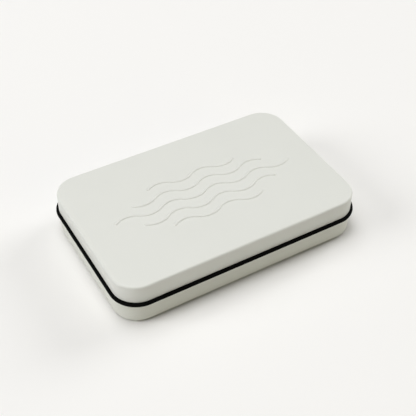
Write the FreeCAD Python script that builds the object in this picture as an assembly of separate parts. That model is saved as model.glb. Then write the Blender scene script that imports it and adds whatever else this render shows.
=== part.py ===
"""Pressed-metal fly box with a hinged lid, a seal between lid and base, and foam that holds the flies.

Millimetres. The origin is the centre of the flat underside. X runs along the box, parallel to the
hinge, -Y is the front and +Z is up. The lid is drawn closed.
"""
import FreeCAD
import Part
import math
import os

from FreeCAD import Vector

# Bends and edges with a smaller radius than this are drawn as a flat that touches their arc
finest_round = 1.2

# Pressed shells; bend radii are measured on the inside of the bend
shell_length = 140.0
shell_width = 90.0
corner_radius = 13.5
sheet = 0.5
bottom_bend = 0.3
foot_height = 0.9
foot_inset = 2.8
foot_slope = 1.0
top_bend = 0.7
shoulder_bend = 0.3
shoulder_height = 12.3
lid_depth = 10.6
neck_height = 7.3
lid_hem_height = 3.0
rim_hem_height = 2.4
hem_flat = 0.1
lid_neck_clearance = 0.5

# Seal ring
seal_thickness = 1.75
seal_proud = 1.5
seal_flat = 0.1
seal_inner_radius = 0.4
seal_neck_clearance = 0.15
lid_seal_gap = 0.1

# Hinges; the setback is from the shell's end to a hinge's middle
hinge_setback = 32.0
hinge_width = 26.0
outer_knuckle = 7.0
knuckle_gap = 0.3
pin_diameter = 1.6
pin_grip_clearance = 0.02
pin_running_clearance = 0.06
pin_overhang = 0.6
leaf_thickness = 0.6
leaf_height = 5.0
leaf_corner_radius = 1.5
leaf_seal_clearance = 0.25
joggle_height = 1.6
joggle_seal_clearance = 0.4
roll_end_angle = 68.0

# Foam and its glue sheets
glue_thickness = 0.2
glue_margin = 1.0
foam_rim_clearance = 1.5
backing_thickness = 2.0
strip_pitch = 9.8
strip_width = 7.2
strip_crown_width = 4.0
strip_height = 5.6
strip_margin = 3.0
lid_foam_thickness = 3.6
lid_foam_neck_clearance = 2.0
ripple_pitch = 4.0
ripple_mouth = 3.0
ripple_floor = 1.0
ripple_depth = 1.2

# Pressed pattern on the lid
wave_chord = 13.0
wave_angle = 34.0
wave_spacing = 7.6
wave_half_waves = (4, 6, 8, 6, 4)
ridge_height = 0.45
ridge_width = 1.9
ridge_slope = 0.5

# Places worked out from the sizes above
half_length = shell_length / 2
half_width = shell_width / 2
hem = 2 * sheet
hem_edge_radius = (hem - hem_flat) / 2
neck_inset = hem + lid_neck_clearance
rim_inset = neck_inset + hem
plate_inset = corner_radius / 2

seal_edge_radius = (seal_thickness - seal_flat) / 2
seal_top = shoulder_height + seal_thickness
lid_edge = seal_top + lid_seal_gap
lid_top = lid_edge + lid_depth
neck_top = shoulder_height + neck_height

knuckle_radius = pin_diameter / 2 + pin_running_clearance + leaf_thickness
axis_y = half_width + seal_proud + leaf_seal_clearance + knuckle_radius
axis_z = shoulder_height + seal_thickness / 2

pad_inset = rim_inset + foam_rim_clearance
lid_pad_inset = rim_inset + lid_foam_neck_clearance
backing_bottom = sheet + glue_thickness
strip_bottom = backing_bottom + backing_thickness
lid_foam_top = lid_top - sheet - glue_thickness
lid_foam_crest = lid_foam_top - lid_foam_thickness

Z_AXIS = Vector(0, 0, 1)
X_AXIS = Vector(1, 0, 0)


def corner(before, here, after, radius):
    """Start, middle and end of a corner's arc or, below the finest round, of the flat that touches it."""
    into = (here - before).normalize()
    away = (after - here).normalize()
    half_turn = into.getAngle(away) / 2
    depth = radius / math.cos(half_turn) - radius
    setback = radius * math.tan(half_turn)
    if radius < finest_round:
        setback = depth / math.sin(half_turn)
    middle = here + (away - into).normalize() * depth
    return here - into * setback, middle, here + away * setback


def outline(points, place):
    """Closed wire through (a, b, corner radius) points; place turns a pair (a, b) into a point in space."""
    spots = [Vector(a, b, 0) for a, b, radius in points]
    corners = []
    for i, (a, b, radius) in enumerate(points):
        after = spots[(i + 1) % len(spots)]
        corners.append([place(p) for p in corner(spots[i - 1], spots[i], after, radius)])
    edges = []
    for i, (start, middle, end) in enumerate(corners):
        radius = points[i][2]
        edges.append(Part.LineSegment(corners[i - 1][2], start).toShape())
        if radius >= finest_round:
            edges.append(Part.Arc(start, middle, end).toShape())
        elif radius > 0:
            edges.append(Part.LineSegment(start, end).toShape())
    return Part.Wire(edges)


def plan_point(p):
    """Point of a plan outline."""
    return Vector(p.x, p.y, 0)


def end_view_point(p):
    """Point of an outline drawn in the plane of Y and Z."""
    return Vector(0, p.x, p.y)


def slab(inset, bottom, top):
    """Plate with the shells' plan outline, drawn in by inset."""
    a = half_length - inset
    b = half_width - inset
    r = corner_radius - inset
    corners = [(-a, -b, r), (a, -b, r), (a, b, r), (-a, b, r)]
    face = Part.Face(outline(corners, plan_point))
    face.translate(Vector(0, 0, bottom))
    return face.extrude(Vector(0, 0, top - bottom))


def ring(section):
    """Wall with the given section, run once around the shells' plan outline.

    Section points are (distance out from the shell's side, height, corner radius).
    """
    a = half_length - corner_radius
    b = half_width - corner_radius
    sides = [
        (Vector(-a, -b, 0), Vector(0, -1, 0), Vector(1, 0, 0), 2 * a),
        (Vector(a, -b, 0), Vector(1, 0, 0), Vector(0, 1, 0), 2 * b),
        (Vector(a, b, 0), Vector(0, 1, 0), Vector(-1, 0, 0), 2 * a),
        (Vector(-a, b, 0), Vector(-1, 0, 0), Vector(0, -1, 0), 2 * b),
    ]
    pieces = []
    for centre, outward, along, run in sides:
        def place(p, centre=centre, outward=outward):
            return centre + outward * (corner_radius + p.x) + Z_AXIS * p.y

        face = Part.Face(outline(section, place))
        pieces.append(face.extrude(along * run))
        pieces.append(face.revolve(centre, Z_AXIS, -90))
    return pieces[0].multiFuse(pieces[1:]).removeSplitter()


def base_shell():
    """Drawn tray: bottom pressed down to a flat foot, side wall, shoulder under the seal, neck, hemmed rim."""
    foot_edge = foot_inset - foot_slope
    foot_shift = sheet * math.tan(math.atan2(foot_height, foot_slope) / 2)
    floor_edge = foot_height + sheet
    outer_bend = shoulder_bend + sheet
    under_shoulder = shoulder_height - sheet
    neck_inside = neck_inset + sheet
    hem_end = neck_top - rim_hem_height
    section = [
        (-plate_inset, 0, 0),
        (-foot_inset, 0, 0),
        (-foot_edge, foot_height, 0),
        (0, foot_height, bottom_bend + sheet),
        (0, shoulder_height, outer_bend),
        (-neck_inset, shoulder_height, shoulder_bend),
        (-neck_inset, neck_top, hem_edge_radius),
        (-rim_inset, neck_top, hem_edge_radius),
        (-rim_inset, hem_end, 0),
        (-neck_inside, hem_end, 0),
        (-neck_inside, under_shoulder, outer_bend),
        (-sheet, under_shoulder, shoulder_bend),
        (-sheet, floor_edge, bottom_bend),
        (-foot_edge - foot_shift, floor_edge, 0),
        (-foot_inset - foot_shift, sheet, 0),
        (-plate_inset, sheet, 0),
    ]
    return ring(section).fuse(slab(plate_inset, 0, sheet)).removeSplitter()


def ridge_face(middle, outward, foot, whole):
    """Upright section of a pressed ridge with sloping sides, or only the half on its outward side.

    foot is half the ridge's width. The section is sunk into the sheet, so that what it makes joins it.
    """
    sink = sheet / 2
    crest = foot - ridge_slope
    sunk_foot = foot + ridge_slope * sink / ridge_height
    inner = -1 if whole else 0
    corners = [
        (inner * sunk_foot, -sink),
        (sunk_foot, -sink),
        (crest, ridge_height),
        (inner * crest, ridge_height),
    ]
    points = [middle + outward * across + Z_AXIS * (lid_top + rise) for across, rise in corners]
    return Part.Face(Part.makePolygon(points + points[:1]))


def wave_ridge(y, half_waves):
    """One pressed water line: equal arcs that bend alternately to the back and to the front."""
    angle = math.radians(wave_angle)
    radius = wave_chord / (2 * math.sin(angle))
    foot = ridge_width / 2
    pieces = []
    for i in range(half_waves):
        step = i - half_waves // 2
        side = 1 if step % 2 == 0 else -1
        left = Vector(wave_chord * step, y, 0)
        right = left + X_AXIS * wave_chord
        centre = (left + right) / 2 - Vector(0, side * radius * math.cos(angle), 0)
        left_outward = (left - centre).normalize()
        right_outward = (right - centre).normalize()
        face = ridge_face(left, left_outward, foot, whole=True)
        pieces.append(face.revolve(centre, Z_AXIS, -side * 2 * wave_angle))
        if i == 0:
            face = ridge_face(left, left_outward, foot, whole=False)
            pieces.append(face.revolve(left, Z_AXIS, side * 180))
        if i == half_waves - 1:
            face = ridge_face(right, right_outward, foot, whole=False)
            pieces.append(face.revolve(right, Z_AXIS, -side * 180))
    return pieces


def lid_pattern():
    """Generic water lines, the longest in the middle."""
    rows = len(wave_half_waves)
    pieces = []
    for i, half_waves in enumerate(wave_half_waves):
        pieces += wave_ridge((i - (rows - 1) / 2) * wave_spacing, half_waves)
    return pieces


def lid_shell():
    """Drawn lid with rounded top edges, a hem turned inwards and the pressed pattern."""
    hem_end = lid_edge + lid_hem_height
    section = [
        (-plate_inset, lid_top, 0),
        (0, lid_top, top_bend + sheet),
        (0, lid_edge, hem_edge_radius),
        (-hem, lid_edge, hem_edge_radius),
        (-hem, hem_end, 0),
        (-sheet, hem_end, 0),
        (-sheet, lid_top - sheet, top_bend),
        (-plate_inset, lid_top - sheet, 0),
    ]
    plate = slab(plate_inset, lid_top - sheet, lid_top)
    return ring(section).multiFuse([plate] + lid_pattern()).removeSplitter()


def seal_ring():
    """Soft ring that lies on the shoulder around the neck and stands proud of both shells."""
    inner = -neck_inset + seal_neck_clearance
    section = [
        (inner, shoulder_height, seal_inner_radius),
        (seal_proud, shoulder_height, seal_edge_radius),
        (seal_proud, seal_top, seal_edge_radius),
        (inner, seal_top, seal_inner_radius),
    ]
    return ring(section)


def knuckle_spans(owner):
    """Places along X, from the hinge's middle, of the knuckles of the base leaf or the lid leaf."""
    end = hinge_width / 2
    inner = end - outer_knuckle
    if owner == "base":
        return [(-end, -inner), (inner, end)]
    return [(-inner + knuckle_gap, inner - knuckle_gap)]


def hinge_leaf(middle_x, owner):
    """Stamped hinge leaf: a plate on the shell's back wall and knuckles rolled around the pin.

    The lid's leaf is the base's leaf turned upside down about the pin. Heights here are below the pin.
    """
    rise = 1 if owner == "base" else -1
    clearance = pin_grip_clearance if owner == "base" else pin_running_clearance
    bore = pin_diameter / 2 + clearance
    outer = bore + leaf_thickness
    inner_y = axis_y - outer
    joggle_edge = -seal_thickness / 2 - joggle_seal_clearance
    plate_edge = joggle_edge - joggle_height
    bend = leaf_thickness / 2

    def section_point(p):
        return Vector(0, p.x, axis_z + rise * p.y)

    def barrel_point(radius, angle):
        turn = math.radians(angle)
        return section_point(Vector(axis_y + radius * math.cos(turn), radius * math.sin(turn), 0))

    def plate_point(p):
        return Vector(p.x, half_width, axis_z + rise * p.y)

    strip = [
        (half_width, plate_edge - leaf_thickness, 0),
        (half_width + leaf_thickness, plate_edge - leaf_thickness, 0),
        (half_width + leaf_thickness, plate_edge, bend),
        (inner_y + leaf_thickness, joggle_edge, bend),
        (inner_y + leaf_thickness, 0, 0),
        (inner_y, 0, 0),
        (inner_y, joggle_edge, bend),
        (half_width, plate_edge, bend),
    ]
    strip_face = Part.Face(outline(strip, section_point))

    roll_end = roll_end_angle - 180
    roll_middle = roll_end_angle / 2
    outer_arc = Part.Arc(*[barrel_point(outer, a) for a in (180, roll_middle, roll_end)])
    inner_arc = Part.Arc(*[barrel_point(bore, a) for a in (roll_end, roll_middle, 180)])
    end_line = Part.LineSegment(barrel_point(outer, roll_end), barrel_point(bore, roll_end))
    root_line = Part.LineSegment(barrel_point(bore, 180), barrel_point(outer, 180))
    barrel_edges = [outer_arc, end_line, inner_arc, root_line]
    barrel_face = Part.Face(Part.Wire([e.toShape() for e in barrel_edges]))

    end = hinge_width / 2
    far_edge = plate_edge - leaf_height
    plate = [
        (-end, plate_edge, 0),
        (end, plate_edge, 0),
        (end, far_edge, leaf_corner_radius),
        (-end, far_edge, leaf_corner_radius),
    ]
    plate_face = Part.Face(outline(plate, plate_point))
    plate_solid = plate_face.extrude(Vector(0, leaf_thickness, 0))

    knuckles = []
    for low, high in knuckle_spans(owner):
        for face in (strip_face, barrel_face):
            knuckle = face.extrude(X_AXIS * (high - low))
            knuckle.translate(X_AXIS * low)
            knuckles.append(knuckle)
    leaf = plate_solid.multiFuse(knuckles).removeSplitter()
    leaf.translate(X_AXIS * middle_x)
    return leaf


def hinge_pin(middle_x):
    """Cut length of wire through one hinge's knuckles."""
    length = hinge_width + 2 * pin_overhang
    start = Vector(middle_x - length / 2, axis_y, axis_z)
    return Part.makeCylinder(pin_diameter / 2, length, start, X_AXIS)


def foam_strip(y):
    """One tapered row of foam that grips the hooks."""
    half_run = half_length - pad_inset - strip_margin
    strip_top = strip_bottom + strip_height
    profile = [
        (y - strip_width / 2, strip_bottom, 0),
        (y + strip_width / 2, strip_bottom, 0),
        (y + strip_crown_width / 2, strip_top, 0),
        (y - strip_crown_width / 2, strip_top, 0),
    ]
    strip = Part.Face(outline(profile, end_view_point)).extrude(X_AXIS * 2 * half_run)
    strip.translate(-X_AXIS * half_run)
    return strip


def foam_strip_rows():
    """Places along Y of the foam strips, as many as the backing has room for."""
    room = shell_width - 2 * (pad_inset + strip_margin)
    count = int((room - strip_width) / strip_pitch) + 1
    return [(i - (count - 1) / 2) * strip_pitch for i in range(count)]


def lid_foam_pad():
    """Foam sheet under the lid's top, rippled on the side that faces the flies."""
    pad = slab(lid_pad_inset, lid_foam_crest, lid_foam_top)
    run = shell_length - 2 * lid_pad_inset
    room = shell_width - 2 * lid_pad_inset
    count = int((room - ripple_mouth) / ripple_pitch) + 1
    grooves = []
    for i in range(count):
        y = (i - (count - 1) / 2) * ripple_pitch
        profile = [
            (y - ripple_mouth / 2, lid_foam_crest, 0),
            (y + ripple_mouth / 2, lid_foam_crest, 0),
            (y + ripple_floor / 2, lid_foam_crest + ripple_depth, 0),
            (y - ripple_floor / 2, lid_foam_crest + ripple_depth, 0),
        ]
        groove = Part.Face(outline(profile, end_view_point)).extrude(X_AXIS * run)
        groove.translate(-X_AXIS * run / 2)
        grooves.append(groove)
    return pad.cut(grooves)


def all_pieces():
    """Every piece of the box by its name."""
    pieces = {
        "base_shell": base_shell(),
        "lid_shell": lid_shell(),
        "seal_ring": seal_ring(),
        "base_foam_glue": slab(pad_inset + glue_margin, sheet, backing_bottom),
        "base_foam_backing": slab(pad_inset, backing_bottom, strip_bottom),
        "lid_foam_glue": slab(lid_pad_inset + glue_margin, lid_foam_top, lid_top - sheet),
        "lid_foam_pad": lid_foam_pad(),
    }
    for row, y in enumerate(foam_strip_rows(), start=1):
        pieces[f"foam_strip_{row}"] = foam_strip(y)
    hinge_x = half_length - hinge_setback
    for name, middle_x in (("left", -hinge_x), ("right", hinge_x)):
        pieces[f"{name}_hinge_base_leaf"] = hinge_leaf(middle_x, "base")
        pieces[f"{name}_hinge_lid_leaf"] = hinge_leaf(middle_x, "lid")
        pieces[f"{name}_hinge_pin"] = hinge_pin(middle_x)
    return pieces


def main():
    os.makedirs("parts", exist_ok=True)
    for name, shape in all_pieces().items():
        size = f"{len(shape.Solids)} solid, {len(shape.Faces)} faces, {shape.Volume:.1f} mm3"
        print(f"{name}: {size}, valid {shape.isValid()}")
        shape.exportStep(f"parts/{name}.step")


main()
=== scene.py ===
"""Dresses the fly box: pressed shells, seal, hinges and foam as finished pieces on a pale studio floor.

Metres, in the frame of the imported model: X along the hinge, -Y to the front, +Z up.
"""
import math

import bmesh
import bpy
from mathutils import Matrix, Vector


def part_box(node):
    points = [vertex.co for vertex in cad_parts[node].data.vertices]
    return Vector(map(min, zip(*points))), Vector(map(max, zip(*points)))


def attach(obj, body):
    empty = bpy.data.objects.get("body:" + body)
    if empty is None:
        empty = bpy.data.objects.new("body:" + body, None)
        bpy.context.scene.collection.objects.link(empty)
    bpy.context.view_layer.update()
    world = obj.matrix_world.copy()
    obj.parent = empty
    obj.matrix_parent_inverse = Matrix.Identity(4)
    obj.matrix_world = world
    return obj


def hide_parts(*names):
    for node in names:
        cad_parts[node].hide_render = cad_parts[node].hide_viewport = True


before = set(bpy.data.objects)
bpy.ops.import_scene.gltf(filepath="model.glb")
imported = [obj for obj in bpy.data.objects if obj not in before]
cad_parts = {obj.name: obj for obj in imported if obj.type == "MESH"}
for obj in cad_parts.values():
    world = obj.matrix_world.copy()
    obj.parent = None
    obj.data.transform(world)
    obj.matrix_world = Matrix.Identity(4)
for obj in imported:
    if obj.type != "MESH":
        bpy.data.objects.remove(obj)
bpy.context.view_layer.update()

bl_info = {
    "name": "Fly Box",
    "version": (1, 0, 0),
    "blender": (4, 5, 0),
    "location": "View3D > Sidebar > Fly Box",
    "description": "Models a pressed-metal fly box with a seal, hinges and foam, and a studio around it",
    "category": "Add Mesh",
}

MM = 0.001
X_AXIS = Vector((1, 0, 0))
Y_AXIS = Vector((0, 1, 0))
Z_AXIS = Vector((0, 0, 1))

# Points closer than this are one point
MERGE_DISTANCE = 0.001 * MM
# Points closer than this to a cutting plane lie on it
CUT_DISTANCE = 0.0001 * MM
# Faces that meet at a larger angle than this have a crisp edge between them
CRISP_ANGLE = math.radians(38)
# A hinge leaf's bends turn by more than this, and its flat seams by less
BEND_ANGLE = math.radians(15)
# Edges that turn by more than this are rounded off on stamped and cut pieces
CUT_ANGLE = math.radians(50)

# Steps in which each kind of round is made
SECTION_BEND_STEPS = 8
BOX_CORNER_STEPS = 24
WAVE_STEPS = 16
LEAF_CORNER_STEPS = 8
LEAF_BEND_STEPS = 4
LEAF_EDGE_STEPS = 2
ROLL_STEPS = 30
PIN_STEPS = 32
FOAM_CORNER_STEPS = 12
FOAM_EDGE_STEPS = 3
FOAM_RIPPLE_STEPS = 10
FLOOR_STEPS = 96

base_low, base_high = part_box("base_shell")
lid_low, lid_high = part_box("lid_shell")
seal_low, seal_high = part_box("seal_ring")
pin_low, pin_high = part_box("left_hinge_pin")


def linear_colour(srgb_hex):
    """Linear RGBA of an sRGB colour such as #E1E2DC."""
    channels = [int(srgb_hex[i:i + 2], 16) / 255 for i in (1, 3, 5)]
    linear = [c / 12.92 if c <= 0.04045 else ((c + 0.055) / 1.055) ** 2.4 for c in channels]
    return (*linear, 1.0)


class FlyBoxShellSizes(bpy.types.PropertyGroup):
    """Sizes of the two pressed shells; bend radii are those of the outside"""

    length: bpy.props.FloatProperty(
        name="Length",
        description="Length of both shells along the hinge",
        default=base_high.x - base_low.x,
        unit="LENGTH",
    )
    width: bpy.props.FloatProperty(
        name="Width",
        description="Width of both shells from front to back",
        default=lid_high.y - lid_low.y,
        unit="LENGTH",
    )
    corner_radius: bpy.props.FloatProperty(
        name="Corner Radius",
        description="Radius of the four upright corners",
        default=13.5 * MM,
        unit="LENGTH",
    )
    sheet: bpy.props.FloatProperty(
        name="Sheet",
        description="Thickness of the sheet metal",
        default=0.5 * MM,
        unit="LENGTH",
    )
    top_bend: bpy.props.FloatProperty(
        name="Top Bend",
        description="Radius of the lid's upper edge",
        default=1.2 * MM,
        unit="LENGTH",
    )
    bottom_bend: bpy.props.FloatProperty(
        name="Bottom Bend",
        description="Radius of the base's lower edge",
        default=0.8 * MM,
        unit="LENGTH",
    )
    foot_height: bpy.props.FloatProperty(
        name="Foot Height",
        description="How far the flat foot is pressed down below the base's lower edge",
        default=0.9 * MM,
        unit="LENGTH",
    )
    foot_inset: bpy.props.FloatProperty(
        name="Foot Inset",
        description="Distance from the base's side to the flat of the foot",
        default=2.8 * MM,
        unit="LENGTH",
    )
    foot_slope: bpy.props.FloatProperty(
        name="Foot Slope",
        description="Width of the slope around the foot",
        default=1.0 * MM,
        unit="LENGTH",
    )
    foot_bend: bpy.props.FloatProperty(
        name="Foot Bend",
        description="Radius of the bends around the foot",
        default=0.7 * MM,
        unit="LENGTH",
    )
    shoulder_bend: bpy.props.FloatProperty(
        name="Shoulder Bend",
        description="Radius of the edge under the seal",
        default=0.8 * MM,
        unit="LENGTH",
    )
    hem_round: bpy.props.FloatProperty(
        name="Hem Round",
        description="Radius of the folded edges of lid and rim",
        default=0.45 * MM,
        unit="LENGTH",
    )
    lid_hem_height: bpy.props.FloatProperty(
        name="Lid Hem",
        description="Height of the hem folded up inside the lid",
        default=3.0 * MM,
        unit="LENGTH",
    )
    rim_hem_height: bpy.props.FloatProperty(
        name="Rim Hem",
        description="Height of the hem folded down inside the base's rim",
        default=2.4 * MM,
        unit="LENGTH",
    )
    neck_inset: bpy.props.FloatProperty(
        name="Neck Inset",
        description="How far the neck inside the lid stands back from the shell's side",
        default=1.5 * MM,
        unit="LENGTH",
    )


class FlyBoxPatternSizes(bpy.types.PropertyGroup):
    """Sizes of the water lines pressed into the lid"""

    wave_chord: bpy.props.FloatProperty(
        name="Half Wave",
        description="Length of half a wave",
        default=13.0 * MM,
        unit="LENGTH",
    )
    wave_angle: bpy.props.FloatProperty(
        name="Wave Slope",
        description="Slope of a wave where it crosses its middle line",
        default=math.radians(34),
        subtype="ANGLE",
    )
    wave_spacing: bpy.props.FloatProperty(
        name="Wave Spacing",
        description="Distance between the lines",
        default=7.6 * MM,
        unit="LENGTH",
    )
    wave_half_waves: bpy.props.IntVectorProperty(
        name="Half Waves",
        description="Half waves in each line, from front to back",
        default=(4, 6, 8, 6, 4),
        size=5,
    )
    ridge_height: bpy.props.FloatProperty(
        name="Ridge Height",
        description="Height of a pressed line above the lid",
        default=0.45 * MM,
        unit="LENGTH",
    )
    ridge_crest: bpy.props.FloatProperty(
        name="Ridge Crest",
        description="Half the width of a pressed line's crest",
        default=0.45 * MM,
        unit="LENGTH",
    )
    ridge_foot: bpy.props.FloatProperty(
        name="Ridge Foot",
        description="Half the width of a pressed line at its foot",
        default=0.95 * MM,
        unit="LENGTH",
    )
    ridge_round: bpy.props.FloatProperty(
        name="Ridge Round",
        description="Radius of the bends at the foot and the crest of a pressed line",
        default=0.4 * MM,
        unit="LENGTH",
    )


class FlyBoxSealSizes(bpy.types.PropertyGroup):
    """Sizes of the seal ring"""

    neck_gap: bpy.props.FloatProperty(
        name="Neck Gap",
        description="Gap between the ring and the neck",
        default=0.15 * MM,
        unit="LENGTH",
    )
    nose_round: bpy.props.FloatProperty(
        name="Nose Round",
        description="Radius of the ring's outer edges",
        default=0.82 * MM,
        unit="LENGTH",
    )
    inner_round: bpy.props.FloatProperty(
        name="Inner Round",
        description="Radius of the ring's inner edges",
        default=0.4 * MM,
        unit="LENGTH",
    )


class FlyBoxHingeSizes(bpy.types.PropertyGroup):
    """Sizes of the stamped hinges"""

    leaf_thickness: bpy.props.FloatProperty(
        name="Leaf",
        description="Thickness of a hinge leaf",
        default=0.6 * MM,
        unit="LENGTH",
    )
    leaf_corner: bpy.props.FloatProperty(
        name="Leaf Corner",
        description="Radius of a leaf's free corners",
        default=1.5 * MM,
        unit="LENGTH",
    )
    outer_knuckle: bpy.props.FloatProperty(
        name="Outer Knuckle",
        description="Width of the base leaf's two knuckles",
        default=7.0 * MM,
        unit="LENGTH",
    )
    knuckle_gap: bpy.props.FloatProperty(
        name="Knuckle Gap",
        description="Gap between neighbouring knuckles",
        default=0.3 * MM,
        unit="LENGTH",
    )
    joggle_gap: bpy.props.FloatProperty(
        name="Joggle Gap",
        description="Distance from the seal to the step in the leaf",
        default=0.4 * MM,
        unit="LENGTH",
    )
    joggle_height: bpy.props.FloatProperty(
        name="Joggle Height",
        description="Height over which the leaf steps out from the wall",
        default=1.6 * MM,
        unit="LENGTH",
    )
    roll_angle: bpy.props.FloatProperty(
        name="Roll",
        description="How far a knuckle is rolled around the pin",
        default=math.radians(292),
        subtype="ANGLE",
    )
    edge_round: bpy.props.FloatProperty(
        name="Edge Round",
        description="Radius of the stamped and tumbled edges",
        default=0.12 * MM,
        unit="LENGTH",
    )
    pin_end_round: bpy.props.FloatProperty(
        name="Pin End Round",
        description="Radius of the edge of a pin's end",
        default=0.3 * MM,
        unit="LENGTH",
    )


class FlyBoxFoamSizes(bpy.types.PropertyGroup):
    """Sizes of the cut foam"""

    crown_width: bpy.props.FloatProperty(
        name="Crown Width",
        description="Width of the top of a foam row",
        default=4.0 * MM,
        unit="LENGTH",
    )
    crown_round: bpy.props.FloatProperty(
        name="Crown Round",
        description="Rounding of the upper edges of a foam row",
        default=0.9 * MM,
        unit="LENGTH",
    )
    slit_pitch: bpy.props.FloatProperty(
        name="Slit Pitch",
        description="Distance between the slits that grip the hooks",
        default=6.0 * MM,
        unit="LENGTH",
    )
    slit_width: bpy.props.FloatProperty(
        name="Slit Width",
        description="How far a slit gapes at the top",
        default=0.7 * MM,
        unit="LENGTH",
    )
    slit_depth: bpy.props.FloatProperty(
        name="Slit Depth",
        description="Depth of a slit",
        default=3.6 * MM,
        unit="LENGTH",
    )
    ripple_pitch: bpy.props.FloatProperty(
        name="Ripple Pitch",
        description="Distance between the ripples of the lid's foam",
        default=4.0 * MM,
        unit="LENGTH",
    )
    ripple_depth: bpy.props.FloatProperty(
        name="Ripple Depth",
        description="Depth of the ripples of the lid's foam",
        default=1.2 * MM,
        unit="LENGTH",
    )
    cut_round: bpy.props.FloatProperty(
        name="Cut Round",
        description="Rounding of the cut edges of the foam sheets",
        default=0.25 * MM,
        unit="LENGTH",
    )


class FlyBoxColours(bpy.types.PropertyGroup):
    """Colours of the finishes, the floor and the fill light"""

    lid_coat: bpy.props.FloatVectorProperty(
        name="Lid Coat",
        description="Paint of the lid and the hinges",
        default=linear_colour("#E1E2DC"),
        size=4,
        subtype="COLOR",
    )
    # The base's coat is the lid's paint made a little darker and warmer: painted shade, not a different
    # paint
    base_coat_with_painted_shade: bpy.props.FloatVectorProperty(
        name="Base Coat With Painted Shade",
        description="Paint of the base: the lid's paint made a little darker and warmer as painted shade",
        default=linear_colour("#DEDFD6"),
        size=4,
        subtype="COLOR",
    )
    rubber: bpy.props.FloatVectorProperty(
        name="Rubber",
        description="Seal ring",
        default=linear_colour("#030303"),
        size=4,
        subtype="COLOR",
    )
    foam: bpy.props.FloatVectorProperty(
        name="Foam",
        description="Foam in base and lid",
        default=linear_colour("#3A3C3E"),
        size=4,
        subtype="COLOR",
    )
    steel: bpy.props.FloatVectorProperty(
        name="Steel",
        description="Hinge pins",
        default=linear_colour("#C4C5C6"),
        size=4,
        subtype="COLOR",
    )
    glue: bpy.props.FloatVectorProperty(
        name="Glue",
        description="Glue sheets under the foam",
        default=linear_colour("#D9CFAF"),
        size=4,
        subtype="COLOR",
    )
    fill_light: bpy.props.FloatVectorProperty(
        name="Fill Light",
        description="Light from all round",
        default=linear_colour("#FFFFFF"),
        size=4,
        subtype="COLOR",
    )
    floor: bpy.props.FloatVectorProperty(
        name="Floor",
        description="Paper on the studio floor",
        default=linear_colour("#F4F3F1"),
        size=4,
        subtype="COLOR",
    )


class FlyBoxStageSettings(bpy.types.PropertyGroup):
    """Camera, floor, backdrop and light"""

    azimuth: bpy.props.FloatProperty(
        name="Azimuth",
        description="Where the camera stands: 0 is the front, and minus is to the left",
        default=math.radians(-30.53),
        subtype="ANGLE",
    )
    elevation: bpy.props.FloatProperty(
        name="Elevation",
        description="Height of the camera above the horizon",
        default=math.radians(43.25),
        subtype="ANGLE",
    )
    roll: bpy.props.FloatProperty(
        name="Roll",
        description="Tilt of the camera about its own axis",
        default=math.radians(0.6),
        subtype="ANGLE",
    )
    view_angle: bpy.props.FloatProperty(
        name="View Angle",
        description="Width of the camera's view",
        default=math.radians(27.63),
        subtype="ANGLE",
    )
    target: bpy.props.FloatVectorProperty(
        name="Target",
        description="Point that the camera looks at",
        default=(1.80 * MM, -0.30 * MM, 11.28 * MM),
        subtype="TRANSLATION",
        unit="LENGTH",
    )
    distance: bpy.props.FloatProperty(
        name="Distance",
        description="Distance from the camera to its target",
        default=457.1 * MM,
        unit="LENGTH",
    )
    floor_size: bpy.props.FloatProperty(
        name="Floor Size",
        description="Diameter of the studio floor",
        default=2.6,
        unit="LENGTH",
    )
    floor_drop: bpy.props.FloatProperty(
        name="Floor Drop",
        description="Gap that keeps the floor clear of the box's underside",
        default=0.05 * MM,
        unit="LENGTH",
    )
    softbox_distance: bpy.props.FloatProperty(
        name="Softbox Distance",
        description="Distance from the box to each softbox",
        default=4.0,
        unit="LENGTH",
    )
    softbox_size: bpy.props.FloatProperty(
        name="Softbox Size",
        description="Diameter of each softbox",
        default=2.2,
        unit="LENGTH",
    )
    light_level: bpy.props.FloatProperty(
        name="Light Level",
        description="Brightness of all the softboxes together",
        default=1.0,
        min=0.0,
    )
    fill_strength: bpy.props.FloatProperty(
        name="Fill Strength",
        description="Strength of the light from all round",
        default=0.03,
        min=0.0,
    )
    backdrop_strength: bpy.props.FloatProperty(
        name="Backdrop Strength",
        description="Brightness of the backdrop behind the floor",
        default=0.9,
        min=0.0,
    )


def add_node(tree, kind, inputs=None, **settings):
    """Add a node; inputs gives sockets a value or links them to another node's output."""
    node = tree.nodes.new(kind)
    for name, value in settings.items():
        setattr(node, name, value)
    for socket, value in (inputs or {}).items():
        if isinstance(value, bpy.types.NodeSocket):
            tree.links.new(value, node.inputs[socket])
        else:
            node.inputs[socket].default_value = value
    return node


def new_material(name):
    """Empty node material with its shader and the coordinates that its patterns read."""
    material = bpy.data.materials.new(name)
    material.use_nodes = True
    tree = material.node_tree
    tree.nodes.clear()
    shader = add_node(tree, "ShaderNodeBsdfPrincipled")
    add_node(tree, "ShaderNodeOutputMaterial", {"Surface": shader.outputs["BSDF"]})
    place = add_node(tree, "ShaderNodeTexCoord").outputs["Object"]
    return material, tree, shader, place


def per_metre(millimetres):
    """Texture scale whose features are about that many millimetres apart."""
    return 1 / (millimetres * MM)


def toned(colour, factor):
    """The colour, made darker or lighter by a factor."""
    return [factor * c for c in colour[:3]] + [1.0]


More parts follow.
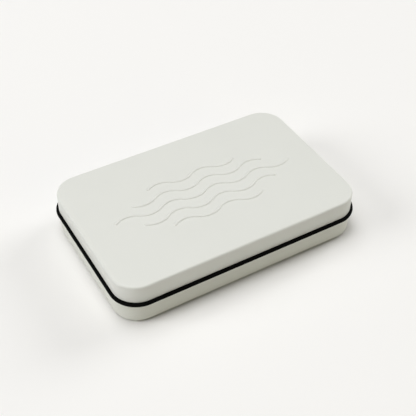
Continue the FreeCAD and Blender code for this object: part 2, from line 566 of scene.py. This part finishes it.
def satin_powder_coat(name, colour):
    """Polyester powder coat, baked on steel: an even satin with a faint orange peel and soft mottling."""
    if name in bpy.data.materials:
        return bpy.data.materials[name]
    material, tree, shader, place = new_material(name)
    shader.inputs["IOR"].default_value = 1.5
    clouds = add_node(tree, "ShaderNodeTexNoise", {
        "Vector": place, "Scale": per_metre(22), "Detail": 3.0, "Roughness": 0.55,
    })
    tint = add_node(tree, "ShaderNodeMix", {
        "Factor": clouds.outputs["Fac"],
        "A": toned(colour, 0.975),
        "B": list(colour),
    }, data_type="RGBA")
    # Real orange peel is about 1 mm; drawn a little coarser, so that it shows
    peel = add_node(tree, "ShaderNodeTexNoise", {
        "Vector": place, "Scale": per_metre(1.5), "Detail": 2.0, "Roughness": 0.5,
    })
    bump = add_node(tree, "ShaderNodeBump", {
        "Height": peel.outputs["Fac"], "Strength": 0.35, "Distance": 0.03 * MM,
    })
    gloss = add_node(tree, "ShaderNodeMapRange", {
        "Value": clouds.outputs["Fac"], "To Min": 0.40, "To Max": 0.48,
    })
    tree.links.new(tint.outputs["Result"], shader.inputs["Base Color"])
    tree.links.new(gloss.outputs["Result"], shader.inputs["Roughness"])
    tree.links.new(bump.outputs["Normal"], shader.inputs["Normal"])
    return material


def silicone_rubber(colours):
    """Extruded black silicone: deep black, dull, with a fine drag from the die along its length."""
    material, tree, shader, place = new_material("silicone_rubber")
    shader.inputs["IOR"].default_value = 1.41
    shader.inputs["Specular IOR Level"].default_value = 0.1
    # The drag lines run with the ring, so they change quickly only with height
    lines = add_node(tree, "ShaderNodeMapping", {
        "Vector": place, "Scale": (0.08, 0.08, 1.0),
    })
    drag = add_node(tree, "ShaderNodeTexNoise", {
        "Vector": lines.outputs["Vector"], "Scale": per_metre(0.35), "Detail": 2.0,
    })
    dust = add_node(tree, "ShaderNodeTexNoise", {
        "Vector": place, "Scale": per_metre(3.0), "Detail": 4.0,
    })
    gloss = add_node(tree, "ShaderNodeMapRange", {
        "Value": dust.outputs["Fac"], "To Min": 0.7, "To Max": 0.85,
    })
    tint = add_node(tree, "ShaderNodeMix", {
        "Factor": dust.outputs["Fac"],
        "A": list(colours.rubber),
        "B": toned(colours.rubber, 1.5),
    }, data_type="RGBA")
    bump = add_node(tree, "ShaderNodeBump", {
        "Height": drag.outputs["Fac"], "Strength": 0.3, "Distance": 0.03 * MM,
    })
    tree.links.new(tint.outputs["Result"], shader.inputs["Base Color"])
    tree.links.new(gloss.outputs["Result"], shader.inputs["Roughness"])
    tree.links.new(bump.outputs["Normal"], shader.inputs["Normal"])
    return material


def closed_cell_foam(colours):
    """Closed-cell EVA foam, cut with a knife: dull, with the cut cells as fine pits, painted darker inside
    as painted shade.
    """
    name = "closed_cell_foam"
    if name in bpy.data.materials:
        return bpy.data.materials[name]
    material, tree, shader, place = new_material(name)
    shader.inputs["Roughness"].default_value = 0.92
    # Real cells are about 0.3 mm; drawn coarser, so that they show
    cells = add_node(tree, "ShaderNodeTexVoronoi", {
        "Vector": place, "Scale": per_metre(0.6), "Randomness": 1.0,
    })
    clouds = add_node(tree, "ShaderNodeTexNoise", {
        "Vector": place, "Scale": per_metre(4), "Detail": 3.0,
    })
    pits = add_node(tree, "ShaderNodeMapRange", {
        "Value": cells.outputs["Distance"], "From Max": 0.6,
    })
    # Painted shade: the colour is darker in the hollow of each cut cell, besides the pits' bump
    pit_painted_shade = add_node(tree, "ShaderNodeMix", {
        "Factor": pits.outputs["Result"],
        "A": toned(colours.foam, 0.6),
        "B": toned(colours.foam, 1.15),
    }, data_type="RGBA")
    tint = add_node(tree, "ShaderNodeMix", {
        "Factor": clouds.outputs["Fac"],
        "A": pit_painted_shade.outputs["Result"],
        "B": list(colours.foam),
    }, data_type="RGBA")
    bump = add_node(tree, "ShaderNodeBump", {
        "Height": pits.outputs["Result"], "Strength": 0.6, "Distance": 0.12 * MM,
    })
    tree.links.new(tint.outputs["Result"], shader.inputs["Base Color"])
    tree.links.new(bump.outputs["Normal"], shader.inputs["Normal"])
    return material


def drawn_steel_wire(colours):
    """Bright drawn steel wire: a metal sheen broken by fine draw lines along the wire."""
    material, tree, shader, place = new_material("drawn_steel_wire")
    shader.inputs["Metallic"].default_value = 1.0
    lines = add_node(tree, "ShaderNodeMapping", {
        "Vector": place, "Scale": (0.03, 1.0, 1.0),
    })
    draw = add_node(tree, "ShaderNodeTexNoise", {
        "Vector": lines.outputs["Vector"], "Scale": per_metre(0.2), "Detail": 3.0,
    })
    gloss = add_node(tree, "ShaderNodeMapRange", {
        "Value": draw.outputs["Fac"], "To Min": 0.22, "To Max": 0.42,
    })
    tint = add_node(tree, "ShaderNodeMix", {
        "Factor": draw.outputs["Fac"],
        "A": toned(colours.steel, 0.8),
        "B": list(colours.steel),
    }, data_type="RGBA")
    bump = add_node(tree, "ShaderNodeBump", {
        "Height": draw.outputs["Fac"], "Strength": 0.25, "Distance": 0.02 * MM,
    })
    tree.links.new(tint.outputs["Result"], shader.inputs["Base Color"])
    tree.links.new(gloss.outputs["Result"], shader.inputs["Roughness"])
    tree.links.new(bump.outputs["Normal"], shader.inputs["Normal"])
    return material


def acrylic_glue_film(colours):
    """Acrylic transfer glue: a yellowish film with the streaks it was spread in."""
    material, tree, shader, place = new_material("acrylic_glue_film")
    shader.inputs["IOR"].default_value = 1.47
    shader.inputs["Roughness"].default_value = 0.35
    lines = add_node(tree, "ShaderNodeMapping", {
        "Vector": place, "Scale": (0.1, 1.0, 1.0),
    })
    streaks = add_node(tree, "ShaderNodeTexNoise", {
        "Vector": lines.outputs["Vector"], "Scale": per_metre(3.0), "Detail": 3.0,
    })
    tint = add_node(tree, "ShaderNodeMix", {
        "Factor": streaks.outputs["Fac"],
        "A": toned(colours.glue, 0.85),
        "B": list(colours.glue),
    }, data_type="RGBA")
    tree.links.new(tint.outputs["Result"], shader.inputs["Base Color"])
    return material


def matte_paper(colours):
    """Uncoated white paper on the studio floor: flat white, with no gloss."""
    material, _, shader, _ = new_material("matte_paper")
    shader.inputs["Roughness"].default_value = 0.95
    shader.inputs["Specular IOR Level"].default_value = 0.1
    shader.inputs["Base Color"].default_value = colours.floor
    return material


def near(one, other):
    """Whether two lengths are the same, but for rounding."""
    return abs(one - other) < MERGE_DISTANCE


def round_corners(bm, verts, setback, steps):
    """Round corners of a wire or of a flat face; the arcs start that far from the corners."""
    bmesh.ops.bevel(
        bm, geom=verts, offset=setback, offset_type="OFFSET", segments=steps,
        profile=0.5, affect="VERTICES", material=-1, clamp_overlap=True,
    )


def draw_section(bm, points, place, closed):
    """Wire through section points (across, up, corner radius), with its corners rounded."""
    verts = [bm.verts.new(place(across, up)) for across, up, _ in points]
    for one, other in zip(verts, verts[1:]):
        bm.edges.new((one, other))
    if closed:
        bm.edges.new((verts[-1], verts[0]))
    for i, (_, _, radius) in enumerate(points):
        if radius > 0:
            before, here, after = (Vector(points[j % len(points)][:2]) for j in (i - 1, i, i + 1))
            half_turn = (here - before).angle(after - here) / 2
            round_corners(bm, [verts[i]], radius * math.tan(half_turn), SECTION_BEND_STEPS)


def loose_section(bm):
    """The section that was drawn last: the points and edges that have no face yet."""
    return [v for v in bm.verts if v.is_wire] + [e for e in bm.edges if e.is_wire]


def side_point(shells):
    """Places a section on the left end of the front side: across is out from the side, up is height."""
    start_x = shells.corner_radius - shells.length / 2

    def place(across, up):
        return Vector((start_x, -shells.width / 2 - across, up))

    return place


def run_around(bm, shells):
    """Run the section in bm once around the box: sides are spins without a turn, corners quarter turns."""
    far_x = shells.length / 2 - shells.corner_radius
    far_y = shells.width / 2 - shells.corner_radius
    corner_centres = [
        Vector((far_x, -far_y, 0)),
        Vector((far_x, far_y, 0)),
        Vector((-far_x, far_y, 0)),
        Vector((-far_x, -far_y, 0)),
    ]
    section = loose_section(bm)
    for i, centre in enumerate(corner_centres):
        run = centre - corner_centres[i - 1]
        side = bmesh.ops.spin(bm, geom=section, cent=centre, axis=Z_AXIS, dvec=run, angle=0, steps=1)
        turn = bmesh.ops.spin(
            bm, geom=side["geom_last"], cent=centre, axis=Z_AXIS,
            angle=math.pi / 2, steps=BOX_CORNER_STEPS,
        )
        section = turn["geom_last"]
    bmesh.ops.remove_doubles(bm, verts=bm.verts, dist=MERGE_DISTANCE)


def open_edges(bm, height):
    """Edges at that height that have a face on one side only."""
    return [
        e for e in bm.edges
        if e.is_boundary and all(near(v.co.z, height) for v in e.verts)
    ]


def add_piece(bm, name, material, body, slot, *nodes):
    """Make bm a smooth-shaded piece that rides on a body and stands for CAD nodes."""
    bmesh.ops.recalc_face_normals(bm, faces=bm.faces)
    mesh = bpy.data.meshes.new(name)
    bm.to_mesh(mesh)
    bm.free()
    mesh.shade_smooth()
    mesh.set_sharp_from_angle(angle=CRISP_ANGLE)
    mesh.materials.append(material)
    piece = bpy.data.objects.new(name, mesh)
    bpy.context.scene.collection.objects.link(piece)
    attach(piece, body)
    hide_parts(*nodes)
    return piece


def round_edges(piece, width, steps):
    """Round off the sharp edges of a stamped or cut piece."""
    edges = piece.modifiers.new("Edges", "BEVEL")
    edges.width = width
    edges.segments = steps
    edges.limit_method = "ANGLE"
    edges.angle_limit = CUT_ANGLE


class FLYBOX_OT_base_shell(bpy.types.Operator):
    """Model the drawn tray: pressed foot, side wall, shoulder under the seal, neck and hemmed rim"""

    bl_idname = "fly_box.base_shell"
    bl_label = "Base Shell"

    def execute(self, context):
        shells = context.scene.fly_box_shells
        sheet = shells.sheet
        plate_inset = shells.corner_radius / 2
        foot_edge = shells.foot_inset - shells.foot_slope
        foot_shift = sheet * math.tan(math.atan2(shells.foot_height, shells.foot_slope) / 2)
        floor_edge = shells.foot_height + sheet
        inner_foot_bend = shells.foot_bend - sheet
        shoulder = seal_low.z
        rim = base_high.z
        hem_end = rim - shells.rim_hem_height
        neck_outside = -shells.neck_inset
        neck_inside = neck_outside - sheet
        rim_inside = neck_inside - sheet
        inner_shoulder_bend = shells.shoulder_bend - sheet
        # From the plate of the foot up the outside to the rim, and back down the inside
        section = [
            (-plate_inset, 0, 0),
            (-shells.foot_inset, 0, shells.foot_bend),
            (-foot_edge, shells.foot_height, inner_foot_bend),
            (0, shells.foot_height, shells.bottom_bend),
            (0, shoulder, shells.shoulder_bend),
            (neck_outside, shoulder, inner_shoulder_bend),
            (neck_outside, rim, shells.hem_round),
            (rim_inside, rim, shells.hem_round),
            (rim_inside, hem_end, 0),
            (neck_inside, hem_end, 0),
            (neck_inside, shoulder - sheet, shells.shoulder_bend),
            (-sheet, shoulder - sheet, inner_shoulder_bend),
            (-sheet, floor_edge, shells.bottom_bend - sheet),
            (-foot_edge - foot_shift, floor_edge, shells.foot_bend),
            (-shells.foot_inset - foot_shift, sheet, inner_foot_bend),
            (-plate_inset, sheet, 0),
        ]
        bm = bmesh.new()
        draw_section(bm, section, side_point(shells), closed=False)
        run_around(bm, shells)
        for height in (0, sheet):
            bmesh.ops.holes_fill(bm, edges=open_edges(bm, height), sides=0)
        # The base gets its own coat, whose darker and warmer colour is painted shade
        coat = satin_powder_coat("base_satin_powder_coat", context.scene.fly_box_colours.base_coat_with_painted_shade)
        add_piece(bm, "base_tray", coat, "base", "shell_paint", "base_shell")
        return {"FINISHED"}


def round_end(bm, section, point, outward, side):
    """Round off a pressed line's end: the outward half of its section makes half a turn about it."""
    verts = [
        g for g in section
        if isinstance(g, bmesh.types.BMVert) and (g.co - point).dot(outward) > -MERGE_DISTANCE
    ]
    edges = [g for g in section if isinstance(g, bmesh.types.BMEdge) and all(v in verts for v in g.verts)]
    bmesh.ops.spin(bm, geom=verts + edges, cent=point, axis=Z_AXIS, angle=side * math.pi, steps=WAVE_STEPS)


def wave_ridge(bm, pattern, top, row_y, half_waves):
    """One pressed water line: its section is spun along arcs that bend to the back and front in turn."""
    chord = pattern.wave_chord
    foot = pattern.ridge_foot
    crest = pattern.ridge_crest
    height = pattern.ridge_height
    bend = pattern.ridge_round
    profile = [
        (-foot - bend, 0, 0),
        (-foot, 0, bend),
        (-crest, height, bend),
        (0, height, 0),
        (crest, height, bend),
        (foot, 0, bend),
        (foot + bend, 0, 0),
    ]
    centre_drop = chord / (2 * math.tan(pattern.wave_angle))
    first = -(half_waves // 2)
    arcs = []
    for i in range(first, first + half_waves):
        side = 1 if i % 2 == 0 else -1
        arcs.append((side, Vector(((i + 0.5) * chord, row_y - side * centre_drop, 0))))

    start = Vector((first * chord, row_y, 0))
    first_side, first_centre = arcs[0]
    outward = (start - first_centre).normalized()

    def place(across, up):
        return start + outward * across + Z_AXIS * (top + up)

    draw_section(bm, profile, place, closed=False)
    section = loose_section(bm)
    round_end(bm, section, start, outward, first_side)
    for side, centre in arcs:
        turn = -2 * side * pattern.wave_angle
        arc = bmesh.ops.spin(bm, geom=section, cent=centre, axis=Z_AXIS, angle=turn, steps=WAVE_STEPS)
        section = arc["geom_last"]
    end = start + X_AXIS * chord * half_waves
    last_side, last_centre = arcs[-1]
    round_end(bm, section, end, (end - last_centre).normalized(), -last_side)


class FLYBOX_OT_lid_shell(bpy.types.Operator):
    """Model the drawn lid with its rounded top edge, folded hem and pressed water lines"""

    bl_idname = "fly_box.lid_shell"
    bl_label = "Lid Shell"

    def execute(self, context):
        shells = context.scene.fly_box_shells
        pattern = context.scene.fly_box_pattern
        sheet = shells.sheet
        plate_inset = shells.corner_radius / 2
        top = lid_high.z - pattern.ridge_height
        edge = lid_low.z
        hem_end = edge + shells.lid_hem_height
        # From the top plate down the outside to the hem, and back up the inside
        section = [
            (-plate_inset, top, 0),
            (0, top, shells.top_bend),
            (0, edge, shells.hem_round),
            (-2 * sheet, edge, shells.hem_round),
            (-2 * sheet, hem_end, 0),
            (-sheet, hem_end, 0),
            (-sheet, top - sheet, shells.top_bend - sheet),
            (-plate_inset, top - sheet, 0),
        ]
        bm = bmesh.new()
        rows = len(pattern.wave_half_waves)
        for row, half_waves in enumerate(pattern.wave_half_waves):
            wave_ridge(bm, pattern, top, (row - (rows - 1) / 2) * pattern.wave_spacing, half_waves)
        draw_section(bm, section, side_point(shells), closed=False)
        run_around(bm, shells)
        bmesh.ops.holes_fill(bm, edges=open_edges(bm, top - sheet), sides=0)
        bmesh.ops.triangle_fill(bm, edges=open_edges(bm, top), use_beauty=True, normal=Z_AXIS)
        coat = satin_powder_coat("lid_satin_powder_coat", context.scene.fly_box_colours.lid_coat)
        add_piece(bm, "lid_cover", coat, "lid", "shell_paint", "lid_shell")
        return {"FINISHED"}


class FLYBOX_OT_seal_ring(bpy.types.Operator):
    """Model the soft ring that lies on the shoulder and stands proud of both shells"""

    bl_idname = "fly_box.seal_ring"
    bl_label = "Seal Ring"

    def execute(self, context):
        shells = context.scene.fly_box_shells
        seal = context.scene.fly_box_seal
        inner = seal.neck_gap - shells.neck_inset
        proud = seal_high.x - base_high.x
        section = [
            (inner, seal_low.z, seal.inner_round),
            (proud, seal_low.z, seal.nose_round),
            (proud, seal_high.z, seal.nose_round),
            (inner, seal_high.z, seal.inner_round),
        ]
        bm = bmesh.new()
        draw_section(bm, section, side_point(shells), closed=True)
        run_around(bm, shells)
        rubber = silicone_rubber(context.scene.fly_box_colours)
        add_piece(bm, "seal", rubber, "base", "seal_rubber", "seal_ring")
        return {"FINISHED"}


def draw_strip(bm, left, right, stops):
    """Strip of sheet from left to right, drawn through stops (y, z); gives back its last edge."""
    here = Vector((0, *stops[0]))
    ends = [bm.verts.new((x, here.y, here.z)) for x in (left, right)]
    strip = ends + [bm.edges.new(ends)]
    for stop in stops[1:]:
        there = Vector((0, *stop))
        run = there - here
        drawn = bmesh.ops.spin(bm, geom=strip, cent=there, axis=X_AXIS, dvec=run, angle=0, steps=1)
        strip = drawn["geom_last"]
        here = there
    return strip


def hinge_leaf(bm, node, on_base, shells, hinges):
    """Middle surface of a stamped leaf: three strips of sheet, two or one of them rolled into knuckles.

    The lid's leaf is the base's leaf turned upside down about the pin.
    """
    low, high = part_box(node)
    # Both pins lie on one line along X, so the left one gives the place of both
    pin_centre = (pin_low + pin_high) / 2
    rise = 1 if on_base else -1
    half_seal = (seal_high.z - seal_low.z) / 2
    roll_radius = high.y - pin_centre.y - hinges.leaf_thickness / 2
    far_edge = low.z if on_base else high.z
    plate_y = shells.width / 2 + hinges.leaf_thickness / 2
    joggle_y = pin_centre.y - roll_radius
    joggle_edge = pin_centre.z - rise * (half_seal + hinges.joggle_gap)
    plate_edge = joggle_edge - rise * hinges.joggle_height
    inner_left = low.x + hinges.outer_knuckle
    inner_right = high.x - hinges.outer_knuckle
    if not on_base:
        inner_left += hinges.knuckle_gap
        inner_right -= hinges.knuckle_gap
    columns = [
        (low.x, inner_left, on_base),
        (inner_left, inner_right, not on_base),
        (inner_right, high.x, on_base),
    ]
    plate = [(plate_y, far_edge), (plate_y, plate_edge)]
    joggle = [(joggle_y, joggle_edge), (joggle_y, pin_centre.z)]
    for left, right, is_knuckle in columns:
        strip = draw_strip(bm, left, right, plate + joggle if is_knuckle else plate)
        if is_knuckle:
            roll = -rise * hinges.roll_angle
            bmesh.ops.spin(bm, geom=strip, cent=pin_centre, axis=X_AXIS, angle=roll, steps=ROLL_STEPS)
    bmesh.ops.remove_doubles(bm, verts=bm.verts, dist=MERGE_DISTANCE)

    free_corners = [
        v for v in bm.verts
        if near(v.co.z, far_edge) and (near(v.co.x, low.x) or near(v.co.x, high.x))
    ]
    round_corners(bm, free_corners, hinges.leaf_corner, LEAF_CORNER_STEPS)
    bends = [
        e for e in bm.edges
        if not e.is_boundary and e.calc_face_angle(0) > BEND_ANGLE
        and any(near(e.verts[0].co.z, z) for z in (plate_edge, joggle_edge))
    ]
    bmesh.ops.bevel(
        bm, geom=bends, offset=hinges.leaf_thickness / 2, offset_type="OFFSET", segments=LEAF_BEND_STEPS,
        profile=0.5, affect="EDGES", material=-1,
    )


class FLYBOX_OT_hinge_leaves(bpy.types.Operator):
    """Model the four stamped hinge leaves with their knuckles rolled around the pins"""

    bl_idname = "fly_box.hinge_leaves"
    bl_label = "Hinge Leaves"

    def execute(self, context):
        hinges = context.scene.fly_box_hinges
        coat = satin_powder_coat("lid_satin_powder_coat", context.scene.fly_box_colours.lid_coat)
        for node in sorted(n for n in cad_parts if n.endswith("_leaf")):
            on_base = node.endswith("base_leaf")
            bm = bmesh.new()
            hinge_leaf(bm, node, on_base, context.scene.fly_box_shells, hinges)
            body = "base" if on_base else "lid"
            piece = add_piece(bm, node + "_plate", coat, body, "hinge_paint", node)
            thickness = piece.modifiers.new("Sheet", "SOLIDIFY")
            thickness.thickness = hinges.leaf_thickness
            thickness.offset = 0
            thickness.use_even_offset = True
            round_edges(piece, hinges.edge_round, LEAF_EDGE_STEPS)
        return {"FINISHED"}


class FLYBOX_OT_hinge_pins(bpy.types.Operator):
    """Model the two wire hinge pins with rounded ends"""

    bl_idname = "fly_box.hinge_pins"
    bl_label = "Hinge Pins"

    def execute(self, context):
        hinges = context.scene.fly_box_hinges
        steel = drawn_steel_wire(context.scene.fly_box_colours)
        for node in sorted(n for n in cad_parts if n.endswith("_pin")):
            low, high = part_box(node)
            middle = (low + high) / 2
            radius = high.z - middle.z
            profile = [
                (low.x, 0, 0),
                (low.x, radius, hinges.pin_end_round),
                (high.x, radius, hinges.pin_end_round),
                (high.x, 0, 0),
            ]
            bm = bmesh.new()
            draw_section(bm, profile, lambda x, r: Vector((x, middle.y, middle.z + r)), closed=False)
            bmesh.ops.spin(
                bm, geom=list(bm.verts) + list(bm.edges), cent=middle, axis=X_AXIS,
                angle=2 * math.pi, steps=PIN_STEPS, use_merge=True,
            )
            bmesh.ops.remove_doubles(bm, verts=bm.verts, dist=MERGE_DISTANCE)
            add_piece(bm, node + "_wire", steel, "base", "pin_steel", node)
        return {"FINISHED"}


def foam_sheet(bm, node, shells):
    """Foam sheet with rounded corners that follow the shells, as thick as its CAD node."""
    low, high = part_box(node)
    inset = shells.length / 2 - high.x
    corners = [(low.x, low.y), (high.x, low.y), (high.x, high.y), (low.x, high.y)]
    face = bm.faces.new([bm.verts.new((x, y, low.z)) for x, y in corners])
    round_corners(bm, list(face.verts), shells.corner_radius - inset, FOAM_CORNER_STEPS)
    made = bmesh.ops.extrude_face_region(bm, geom=list(bm.faces), use_keep_orig=True)
    upper = [g for g in made["geom"] if isinstance(g, bmesh.types.BMVert)]
    bmesh.ops.translate(bm, verts=upper, vec=Z_AXIS * (high.z - low.z))


def cut(bm, point, normal):
    """Cut every face along a plane."""
    geom = list(bm.verts) + list(bm.edges) + list(bm.faces)
    bmesh.ops.bisect_plane(bm, geom=geom, plane_co=point, plane_no=normal, dist=CUT_DISTANCE)


def foam_row(bm, node, foam):
    """Tapered foam row with a rounded crown, cut across by slits that gape a little at the top."""
    low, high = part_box(node)
    middle_y = (low.y + high.y) / 2
    half_crown = foam.crown_width / 2
    slit_floor = high.z - foam.slit_depth
    section = [
        (low.y, low.z, 0),
        (high.y, low.z, 0),
        (middle_y + half_crown, high.z, foam.crown_round),
        (middle_y - half_crown, high.z, foam.crown_round),
    ]
    draw_section(bm, section, lambda y, z: Vector((low.x, y, z)), closed=True)
    end = bmesh.ops.contextual_create(bm, geom=list(bm.edges))["faces"]
    made = bmesh.ops.extrude_face_region(bm, geom=end, use_keep_orig=True)
    far_end = [g for g in made["geom"] if isinstance(g, bmesh.types.BMVert)]
    bmesh.ops.translate(bm, verts=far_end, vec=X_AXIS * (high.x - low.x))

    cut(bm, Z_AXIS * slit_floor, Z_AXIS)
    slits = int((high.x - low.x) / foam.slit_pitch) - 1
    for i in range(slits):
        slit_x = (i - (slits - 1) / 2) * foam.slit_pitch
        for x in (slit_x - foam.slit_width / 2, slit_x, slit_x + foam.slit_width / 2):
            cut(bm, X_AXIS * x, X_AXIS)
        for vert in bm.verts:
            if near(vert.co.x, slit_x) and vert.co.z > slit_floor:
                vert.co.z = slit_floor


class FLYBOX_OT_base_foam(bpy.types.Operator):
    """Model the foam in the base: a backing sheet and slit rows that grip the hooks"""

    bl_idname = "fly_box.base_foam"
    bl_label = "Base Foam"

    def execute(self, context):
        foam = context.scene.fly_box_foam
        material = closed_cell_foam(context.scene.fly_box_colours)
        bm = bmesh.new()
        foam_sheet(bm, "base_foam_backing", context.scene.fly_box_shells)
        backing = add_piece(bm, "foam_backing", material, "base", "foam", "base_foam_backing")
        round_edges(backing, foam.cut_round, FOAM_EDGE_STEPS)
        for node in sorted(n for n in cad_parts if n.startswith("foam_strip_")):
            bm = bmesh.new()
            foam_row(bm, node, foam)
            row = add_piece(bm, node.replace("strip", "row"), material, "base", "foam", node)
        return {"FINISHED"}


class FLYBOX_OT_lid_foam(bpy.types.Operator):
    """Model the rippled foam sheet under the lid"""

    bl_idname = "fly_box.lid_foam"
    bl_label = "Lid Foam"

    def execute(self, context):
        foam = context.scene.fly_box_foam
        low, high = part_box("lid_foam_pad")
        bm = bmesh.new()
        foam_sheet(bm, "lid_foam_pad", context.scene.fly_box_shells)
        cut_step = foam.ripple_pitch / FOAM_RIPPLE_STEPS
        cuts = int((high.y - low.y) / cut_step)
        for i in range(cuts):
            cut(bm, Y_AXIS * (i - (cuts - 1) / 2) * cut_step, Y_AXIS)
        for vert in bm.verts:
            if vert.co.z < (low.z + high.z) / 2:
                phase = 2 * math.pi * vert.co.y / foam.ripple_pitch
                vert.co.z += foam.ripple_depth * (1 - math.cos(phase)) / 2
        material = closed_cell_foam(context.scene.fly_box_colours)
        pad = add_piece(bm, "lid_foam", material, "lid", "foam", "lid_foam_pad")
        return {"FINISHED"}


class FLYBOX_OT_glue_sheets(bpy.types.Operator):
    """Give the two glue sheets, whose shape is right as it is, their finish"""

    bl_idname = "fly_box.glue_sheets"
    bl_label = "Glue Sheets"

    def execute(self, context):
        film = acrylic_glue_film(context.scene.fly_box_colours)
        for node in ("base_foam_glue", "lid_foam_glue"):
            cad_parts[node].material_slots[0].material = film
        return {"FINISHED"}


# Name, azimuth and elevation in degrees, power in watts, colour
SOFTBOXES = [
    ("top_light", 0, 90, 34, "#FFFFFF"),
    ("back_top_light", 180, 70, 36, "#FFFFFF"),
    ("left_top_light", 270, 70, 38, "#FFFFFF"),
    ("right_light", 99, 26, 66, "#FFFFFF"),
    ("left_light", 254, 28, 68, "#FFFFFF"),
    ("warm_front_card", 12, 18, 14, "#FFF5C6"),
]


def direction(azimuth, elevation):
    """Unit vector towards a point seen from the box: azimuth 0 is the front, 90 the right."""
    flat = math.cos(elevation)
    return Vector((math.sin(azimuth) * flat, -math.cos(azimuth) * flat, math.sin(elevation)))


def add_softbox(scene, stage, name, azimuth, elevation, power, colour):
    """Round soft light that faces the box."""
    towards = direction(math.radians(azimuth), math.radians(elevation))
    light = bpy.data.lights.new(name, "AREA")
    light.shape = "DISK"
    light.size = stage.softbox_size
    light.energy = power * stage.light_level
    light.color = linear_colour(colour)[:3]
    lamp = bpy.data.objects.new(name, light)
    lamp.location = towards * stage.softbox_distance
    lamp.rotation_euler = towards.to_track_quat("Z", "Y").to_euler()
    scene.collection.objects.link(lamp)


def add_floor(scene, stage):
    """Round sheet of paper that the box stands on."""
    bm = bmesh.new()
    bmesh.ops.create_circle(
        bm, cap_ends=True, segments=FLOOR_STEPS, radius=stage.floor_size / 2,
        matrix=Matrix.Translation(Z_AXIS * -stage.floor_drop),
    )
    mesh = bpy.data.meshes.new("floor")
    bm.to_mesh(mesh)
    bm.free()
    mesh.materials.append(matte_paper(scene.fly_box_colours))
    floor = bpy.data.objects.new("floor", mesh)
    scene.collection.objects.link(floor)


def add_backdrop(scene, stage):
    """World whose backdrop looks pale behind the floor, while its light from all round stays weak."""
    world = bpy.data.worlds.new("studio")
    world.use_nodes = True
    sky = world.node_tree.nodes["Background"]
    sky.inputs["Color"].default_value = scene.fly_box_colours.fill_light
    rays = add_node(world.node_tree, "ShaderNodeLightPath")
    level = add_node(world.node_tree, "ShaderNodeMapRange", {
        "Value": rays.outputs["Is Camera Ray"],
        "To Min": stage.fill_strength,
        "To Max": stage.backdrop_strength,
    })
    world.node_tree.links.new(level.outputs["Result"], sky.inputs["Strength"])
    scene.world = world


def add_camera(scene, stage):
    """Camera at the stage's angle and distance, tilted by its roll."""
    back = direction(stage.azimuth, stage.elevation)
    level_right = Vector((math.cos(stage.azimuth), math.sin(stage.azimuth), 0))
    right = Matrix.Rotation(stage.roll, 3, back) @ level_right
    up = back.cross(right)
    lens = bpy.data.cameras.new("camera")
    lens.angle = stage.view_angle
    camera = bpy.data.objects.new("camera", lens)
    camera.matrix_world = Matrix((right, up, back)).transposed().to_4x4()
    camera.location = Vector(stage.target) + back * stage.distance
    scene.collection.objects.link(camera)
    scene.camera = camera


class FLYBOX_OT_stage(bpy.types.Operator):
    """Set up the pale floor and backdrop, the soft light and the camera"""

    bl_idname = "fly_box.stage"
    bl_label = "Stage"

    def execute(self, context):
        scene = context.scene
        stage = scene.fly_box_stage
        add_floor(scene, stage)
        for softbox in SOFTBOXES:
            add_softbox(scene, stage, *softbox)
        add_backdrop(scene, stage)
        add_camera(scene, stage)
        scene.view_settings.view_transform = "Standard"
        return {"FINISHED"}


class FLYBOX_PT_panel(bpy.types.Panel):
    """Lists the steps that make the fly box"""

    bl_idname = "FLYBOX_PT_panel"
    bl_label = "Fly Box"
    bl_space_type = "VIEW_3D"
    bl_region_type = "UI"
    bl_category = "Fly Box"

    def draw(self, context):
        for operator in OPERATORS:
            self.layout.operator(operator.bl_idname)


SETTINGS = {
    "fly_box_shells": FlyBoxShellSizes,
    "fly_box_pattern": FlyBoxPatternSizes,
    "fly_box_seal": FlyBoxSealSizes,
    "fly_box_hinges": FlyBoxHingeSizes,
    "fly_box_foam": FlyBoxFoamSizes,
    "fly_box_colours": FlyBoxColours,
    "fly_box_stage": FlyBoxStageSettings,
}
OPERATORS = [
    FLYBOX_OT_base_shell,
    FLYBOX_OT_lid_shell,
    FLYBOX_OT_seal_ring,
    FLYBOX_OT_hinge_leaves,
    FLYBOX_OT_hinge_pins,
    FLYBOX_OT_base_foam,
    FLYBOX_OT_lid_foam,
    FLYBOX_OT_glue_sheets,
    FLYBOX_OT_stage,
]


def register():
    for settings in SETTINGS.values():
        bpy.utils.register_class(settings)
    for name, settings in SETTINGS.items():
        setattr(bpy.types.Scene, name, bpy.props.PointerProperty(type=settings))
    for operator in OPERATORS:
        bpy.utils.register_class(operator)
    bpy.utils.register_class(FLYBOX_PT_panel)


def unregister():
    bpy.utils.unregister_class(FLYBOX_PT_panel)
    for operator in reversed(OPERATORS):
        bpy.utils.unregister_class(operator)
    for name, settings in reversed(SETTINGS.items()):
        delattr(bpy.types.Scene, name)
        bpy.utils.unregister_class(settings)


def main():
    register()
    bpy.ops.fly_box.base_shell()
    bpy.ops.fly_box.lid_shell()
    bpy.ops.fly_box.seal_ring()
    bpy.ops.fly_box.hinge_leaves()
    bpy.ops.fly_box.hinge_pins()
    bpy.ops.fly_box.base_foam()
    bpy.ops.fly_box.lid_foam()
    bpy.ops.fly_box.glue_sheets()
    bpy.ops.fly_box.stage()


if __name__ == "__main__":
    main()
